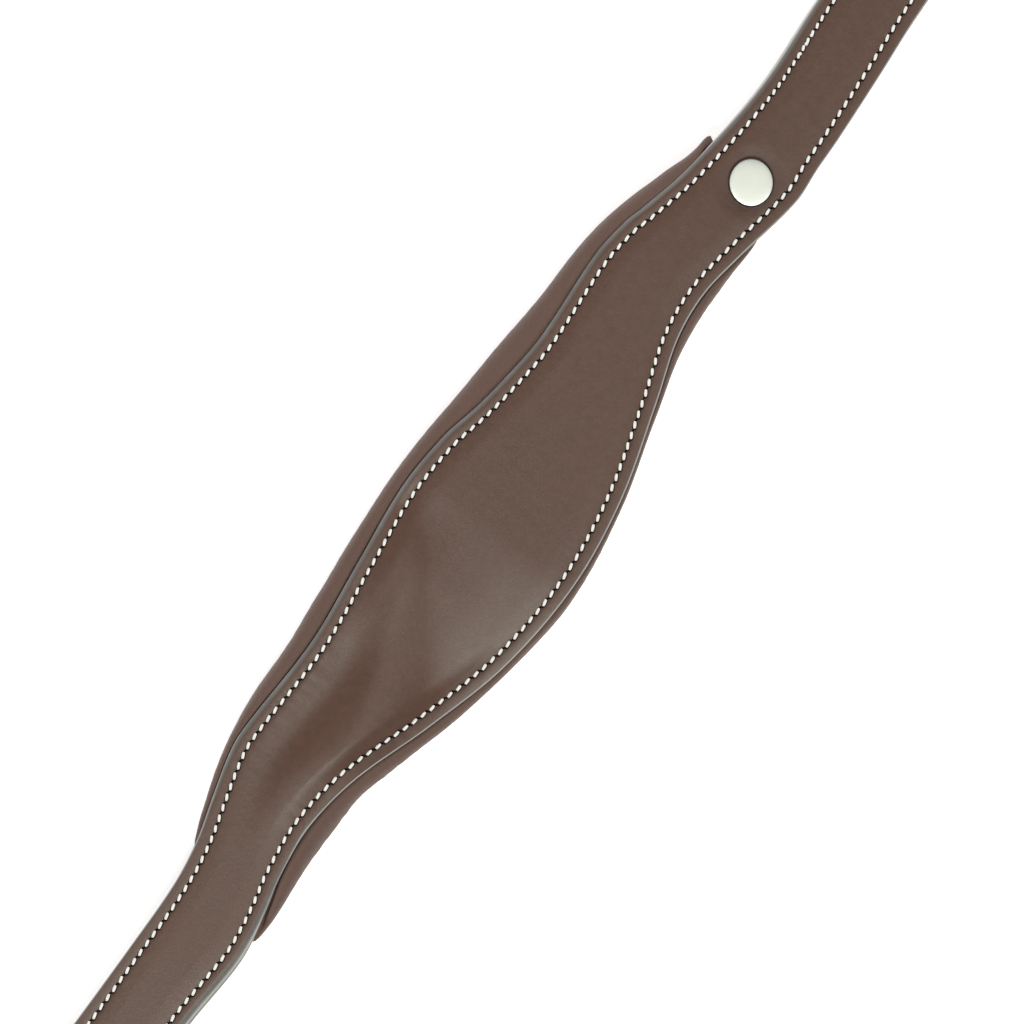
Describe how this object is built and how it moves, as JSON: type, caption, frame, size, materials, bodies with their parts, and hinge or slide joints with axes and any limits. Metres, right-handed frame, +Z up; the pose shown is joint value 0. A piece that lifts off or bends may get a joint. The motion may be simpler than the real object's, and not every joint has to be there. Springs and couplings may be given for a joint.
{
  "type": "leather halter",
  "caption": "Padded leather horse halter, laid out flat with the near crown buckle and throat snap undone; shaped crown with a plain stud.",
  "frame": {"origin": "on the surface the halter lies on, at the middle of its length and width", "axes": "+Z up off the surface, +Y from the nose towards the crown's free end, +X towards the near side"},
  "size_m": [0.2818, 0.9836, 0.1054],
  "materials": {
    "bridle_leather": "satin, dyed brown, painted edges",
    "lining_leather": "matte, flesh side dressed",
    "pad_leather": "soft, fine grained, matte",
    "foam": "open foam",
    "nickel_plate": "polished nickel plate",
    "satin_nickel": "satin nickel, plain face",
    "spring_steel": "drawn wire"
  },
  "bodies": {
    "nose_loop": {"noseband_strap": "bridle_leather", "noseband_pad_cover": "pad_leather", "noseband_pad_foam": "foam", "off_lower_ring": "nickel_plate", "near_lower_ring": "nickel_plate", "chin_ring": "nickel_plate", "off_chin_strap": "bridle_leather", "chin_chape": "bridle_leather", "chin_buckle_frame": "nickel_plate", "chin_fixed_keeper": "bridle_leather", "chin_billet": "bridle_leather"},
    "chin_tongue": {"chin_buckle_tongue": "nickel_plate"},
    "chin_keeper": {"chin_loose_keeper": "bridle_leather"},
    "jaw": {"jaw_strap": "bridle_leather"},
    "off_cheek": {"off_cheek_strap": "bridle_leather", "off_upper_ring": "nickel_plate", "throat_strap": "bridle_leather", "throat_ring_tab": "bridle_leather", "throat_snap_tab": "bridle_leather"},
    "snap_swivel_eye": {"snap_eye": "nickel_plate"},
    "snap_barrel": {"snap_body": "nickel_plate", "snap_spring": "spring_steel"},
    "snap_slider": {"snap_bolt": "nickel_plate"},
    "crown": {"crown_top_leather": "bridle_leather", "crown_lining": "lining_leather", "crown_pad_cover": "pad_leather", "crown_pad_foam": "foam", "stud": "satin_nickel", "stud_washer": "satin_nickel", "off_chape": "bridle_leather", "off_buckle_frame": "nickel_plate", "off_fixed_keeper": "bridle_leather"},
    "off_tongue": {"off_buckle_tongue": "nickel_plate"},
    "off_keeper": {"off_loose_keeper": "bridle_leather"},
    "near_cheek": {"near_cheek_strap": "bridle_leather"},
    "near_ring": {"near_upper_ring": "nickel_plate"},
    "near_chape": {"near_chape": "bridle_leather", "near_fixed_keeper": "bridle_leather"},
    "near_frame": {"near_buckle_frame": "nickel_plate"},
    "near_tongue": {"near_buckle_tongue": "nickel_plate"},
    "near_keeper": {"near_loose_keeper": "bridle_leather"}
  },
  "joints": [
    {"name": "chin_tongue_lift", "type": "hinge", "parent": "nose_loop", "child": "chin_tongue", "pos_m": [0.05908, -0.40964, 0.00701], "axis": [-0.6691, 0.7431, 0], "range_deg": [0, 5]},
    {"name": "chin_keeper_slide", "type": "slide", "parent": "nose_loop", "child": "chin_keeper", "axis": [0.7431, 0.6691, 0], "range_m": [-0.0025, 0.003]},
    {"name": "jaw_strap_fold", "type": "hinge", "parent": "nose_loop", "child": "jaw", "pos_m": [0.001, -0.43558, 0.00701], "axis": [1, 0, 0], "range_deg": [-5, 9]},
    {"name": "off_cheek_fold", "type": "hinge", "parent": "nose_loop", "child": "off_cheek", "pos_m": [-0.111, -0.33687, 0.00701], "axis": [1, 0, 0], "range_deg": [-15, 30]},
    {"name": "snap_hinge", "type": "hinge", "parent": "off_cheek", "child": "snap_swivel_eye", "pos_m": [0.0535, -0.20101, 0.00701], "axis": [1, 0, 0], "range_deg": [-60, 60]},
    {"name": "snap_swivel", "type": "hinge", "parent": "snap_swivel_eye", "child": "snap_barrel", "pos_m": [0.0535, -0.18631, 0.00701], "axis": [0, 1, 0], "continuous": true},
    {"name": "snap_bolt_slide", "type": "slide", "parent": "snap_barrel", "child": "snap_slider", "axis": [0, -1, 0], "range_m": [0, 0.011], "stiffness_N_per_m": 300, "deforming": ["snap_spring"]},
    {"name": "crown_fold", "type": "hinge", "parent": "off_cheek", "child": "crown", "pos_m": [-0.111, -0.11687, 0.00701], "axis": [1, 0, 0], "range_deg": [-60, 100]},
    {"name": "off_tongue_lift", "type": "hinge", "parent": "crown", "child": "off_tongue", "pos_m": [-0.111, -0.03287, 0.00701], "axis": [1, 0, 0], "range_deg": [0, 5]},
    {"name": "off_keeper_slide", "type": "slide", "parent": "crown", "child": "off_keeper", "axis": [0, -1, 0], "range_m": [-0.02, 0.018]},
    {"name": "near_cheek_fold", "type": "hinge", "parent": "nose_loop", "child": "near_cheek", "pos_m": [0.113, -0.33687, 0.00701], "axis": [1, 0, 0], "range_deg": [-60, 100]},
    {"name": "near_ring_tilt", "type": "hinge", "parent": "near_cheek", "child": "near_ring", "pos_m": [0.113, -0.1653, 0.00701], "axis": [1, 0, 0], "range_deg": [-40, 40]},
    {"name": "near_chape_fold", "type": "hinge", "parent": "near_ring", "child": "near_chape", "pos_m": [0.113, -0.11687, 0.00701], "axis": [1, 0, 0], "range_deg": [-60, 90]},
    {"name": "near_keeper_slide", "type": "slide", "parent": "near_chape", "child": "near_keeper", "axis": [0, -1, 0], "range_m": [-0.02, 0.018]},
    {"name": "near_buckle_swing", "type": "hinge", "parent": "near_chape", "child": "near_frame", "pos_m": [0.113, -0.03287, 0.00701], "axis": [1, 0, 0], "range_deg": [-15, 25]},
    {"name": "near_tongue_lift", "type": "hinge", "parent": "near_frame", "child": "near_tongue", "pos_m": [0.113, -0.03287, 0.00701], "axis": [1, 0, 0], "range_deg": [0, 35]}
  ],
  "couplings": [
    {"joint": "jaw_strap_fold", "follows": "off_cheek_fold", "ratio": 0.263}
  ]
}
